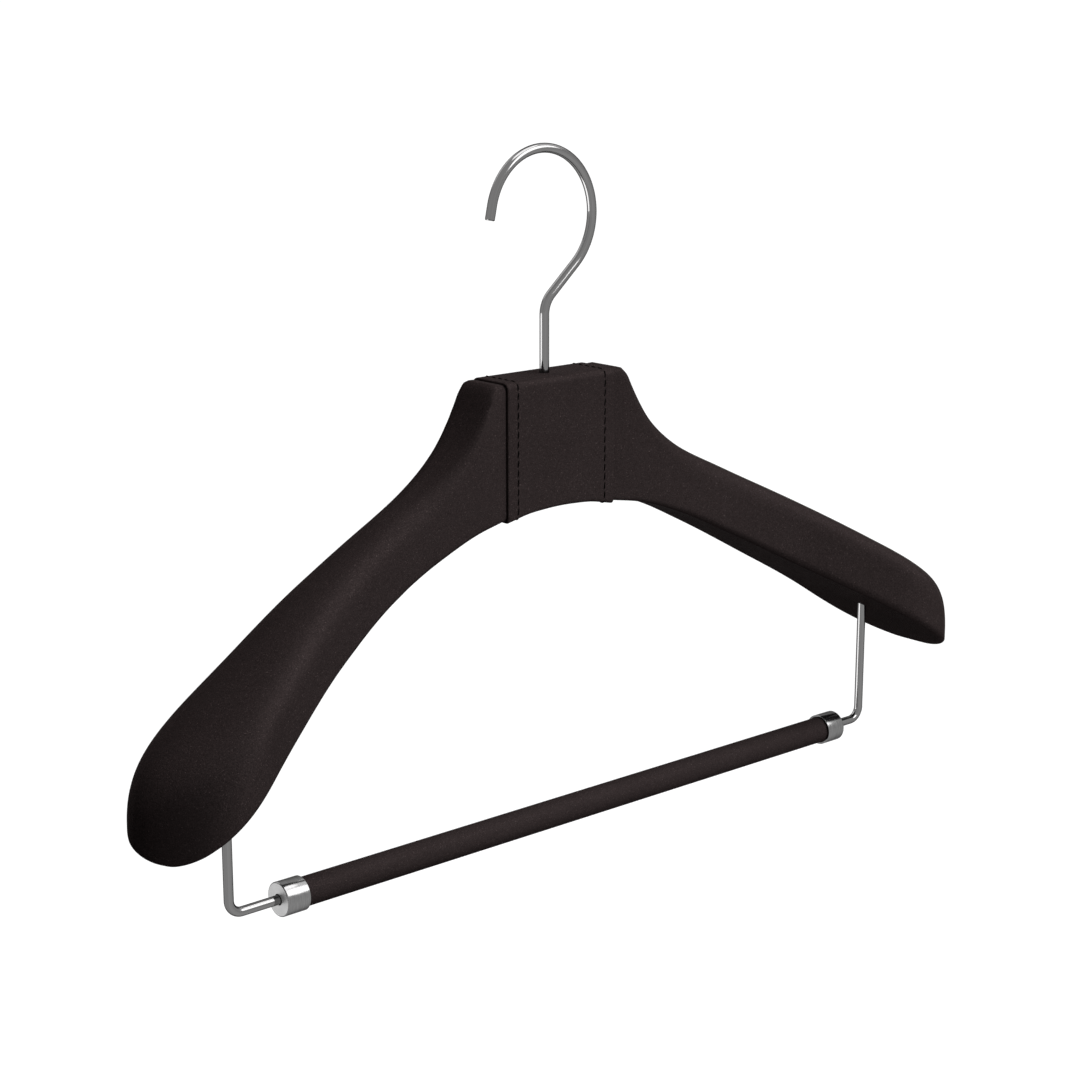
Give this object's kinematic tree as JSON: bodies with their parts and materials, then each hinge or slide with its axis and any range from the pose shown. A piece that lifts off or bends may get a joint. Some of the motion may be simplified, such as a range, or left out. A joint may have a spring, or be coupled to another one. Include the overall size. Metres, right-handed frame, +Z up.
{
  "type": "suit hanger",
  "caption": "Contoured suit hanger with leather-covered wooden arms, a stitched leather band round the neck, a swivelling steel hook and a rolling leather-covered trouser bar on steel wires.",
  "frame": {"origin": "the inside top of the hook's bow, where a rail carries it, on the axis of the hook's shank", "axes": "+Z up along the hook's shank, X along the hanger from the left tip to the right tip, front of the hanger towards -Y"},
  "size_m": [0.45, 0.0751, 0.2959],
  "materials": {
    "dark_leather": "satin smooth-grain leather, black-brown",
    "polished_steel": "polished, with drawing lines along the wire",
    "arm_wood": "sanded beech, unseen inside the leather",
    "bush_brass": "turned brass, unseen inside the neck",
    "white_nylon": "moulded nylon, unseen inside the arms and the bar"
  },
  "bodies": {
    "hook": {"hook": "polished_steel", "hook_nut": "polished_steel"},
    "hanger": {"core_left": "arm_wood", "core_right": "arm_wood", "cover_left": "dark_leather", "cover_right": "dark_leather", "neck_band": "dark_leather", "joint_dowel_front": "arm_wood", "joint_dowel_back": "arm_wood", "hook_bush": "bush_brass", "hook_washer": "polished_steel", "wire_socket_left": "white_nylon", "wire_socket_right": "white_nylon", "bar_wire_left": "polished_steel", "bar_wire_right": "polished_steel"},
    "bar": {"bar_core": "arm_wood", "bar_cover": "dark_leather", "ferrule_left": "polished_steel", "ferrule_right": "polished_steel", "bar_bush_left": "white_nylon", "bar_bush_right": "white_nylon"}
  },
  "joints": [
    {"name": "hook_swivel", "type": "hinge", "parent": "hook", "child": "hanger", "pos_m": [0, 0, 0], "axis": [0, 0, 1], "continuous": true},
    {"name": "bar_roll", "type": "hinge", "parent": "hanger", "child": "bar", "pos_m": [0.0024, -0.0244, -0.28447], "axis": [1, 0, 0], "continuous": true}
  ]
}
